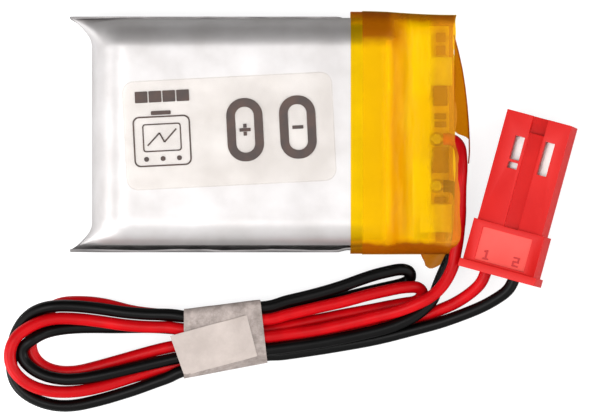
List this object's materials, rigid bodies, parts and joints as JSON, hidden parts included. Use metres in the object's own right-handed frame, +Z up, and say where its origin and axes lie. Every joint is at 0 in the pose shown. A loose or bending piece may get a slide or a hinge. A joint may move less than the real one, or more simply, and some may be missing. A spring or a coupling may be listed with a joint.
{
  "type": "lithium polymer battery pack",
  "caption": "Flat soft-pouch battery pack with taped protection board, folded red and black lead hank under a paper band, and a red socket plug.",
  "frame": {"origin": "middle of the cell's underside", "axes": "+X from the folded end of the cell to its terminal end, +Y to the long side away from the leads, +Z up through the thickness"},
  "size_m": [0.0491, 0.0343, 0.0057],
  "materials": {
    "laminate": "satin",
    "copper_foil": "satin",
    "cathode_coat": "matte",
    "separator_film": "matte",
    "tab_aluminium": "satin",
    "nickel": "satin",
    "seal_polymer": "matte",
    "insulating_paper": "matte",
    "board_green": "satin",
    "chip_black": "matte",
    "resistor_black": "satin",
    "capacitor_tan": "satin",
    "solder": "satin",
    "amber_tape": "gloss",
    "label_clear": "gloss",
    "label_ink": "matte",
    "red_insulation": "gloss",
    "black_insulation": "gloss",
    "tinned_copper": "satin",
    "band_paper": "matte",
    "plug_red": "satin",
    "contact_tin": "satin"
  },
  "bodies": {
    "pack": {"pouch_cover": "laminate", "pouch_cup": "laminate", "anode_foil": "copper_foil", "separator_inner": "separator_film", "cathode_foil": "cathode_coat", "separator_outer": "separator_film", "cell_tab_positive": "tab_aluminium", "tab_seal_positive": "seal_polymer", "cell_link_positive": "nickel", "cell_tab_negative": "nickel", "tab_seal_negative": "seal_polymer", "cell_link_negative": "nickel", "insulating_paper": "insulating_paper", "protection_board": "board_green", "switch_chip": "chip_black", "guard_chip": "chip_black", "chip_resistors": "resistor_black", "chip_capacitors": "capacitor_tan", "solder_joints": "solder", "tape_inner": "amber_tape", "tape_outer": "amber_tape", "label_film": "label_clear", "label_print": "label_ink", "red_lead_pack": "red_insulation", "red_core_pack": "tinned_copper", "red_lead_exit": "red_insulation", "red_core_exit": "tinned_copper", "black_lead_pack": "black_insulation", "black_core_pack": "tinned_copper", "black_lead_exit": "black_insulation", "black_core_exit": "tinned_copper"},
    "hank": {"red_lead_hank": "red_insulation", "red_core_hank": "tinned_copper", "red_lead_bend": "red_insulation", "red_core_bend": "tinned_copper", "black_lead_hank": "black_insulation", "black_core_hank": "tinned_copper", "black_lead_bend": "black_insulation", "black_core_bend": "tinned_copper", "paper_band": "band_paper"},
    "tail": {"red_lead_tail": "red_insulation", "red_core_tail": "tinned_copper", "red_lead_root": "red_insulation", "red_core_root": "tinned_copper", "black_lead_tail": "black_insulation", "black_core_tail": "tinned_copper", "black_lead_root": "black_insulation", "black_core_root": "tinned_copper"},
    "plug": {"red_lead_plug": "red_insulation", "red_core_plug": "tinned_copper", "black_lead_plug": "black_insulation", "black_core_plug": "tinned_copper", "plug_housing": "plug_red", "contact_red": "contact_tin", "contact_black": "contact_tin"}
  },
  "joints": [
    {"name": "lead_lift", "type": "hinge", "parent": "pack", "child": "hank", "pos_m": [0.0162, -0.0106, 0.0019], "axis": [-1, 0, 0], "range_deg": [-20, 38], "deforming": ["red_lead_exit", "red_core_exit", "black_lead_exit", "black_core_exit"]},
    {"name": "tail_swing", "type": "hinge", "parent": "hank", "child": "tail", "pos_m": [0.01423, -0.0157, 0.0011], "axis": [0, 0, -1], "range_deg": [0, 70], "deforming": ["red_lead_bend", "red_core_bend", "black_lead_bend", "black_core_bend"]},
    {"name": "plug_tilt", "type": "hinge", "parent": "tail", "child": "plug", "pos_m": [0.02011, -0.01354, 0.00275], "axis": [0.9646, -0.2639, 0], "range_deg": [-10, 60], "deforming": ["red_lead_root", "red_core_root", "black_lead_root", "black_core_root"]}
  ]
}
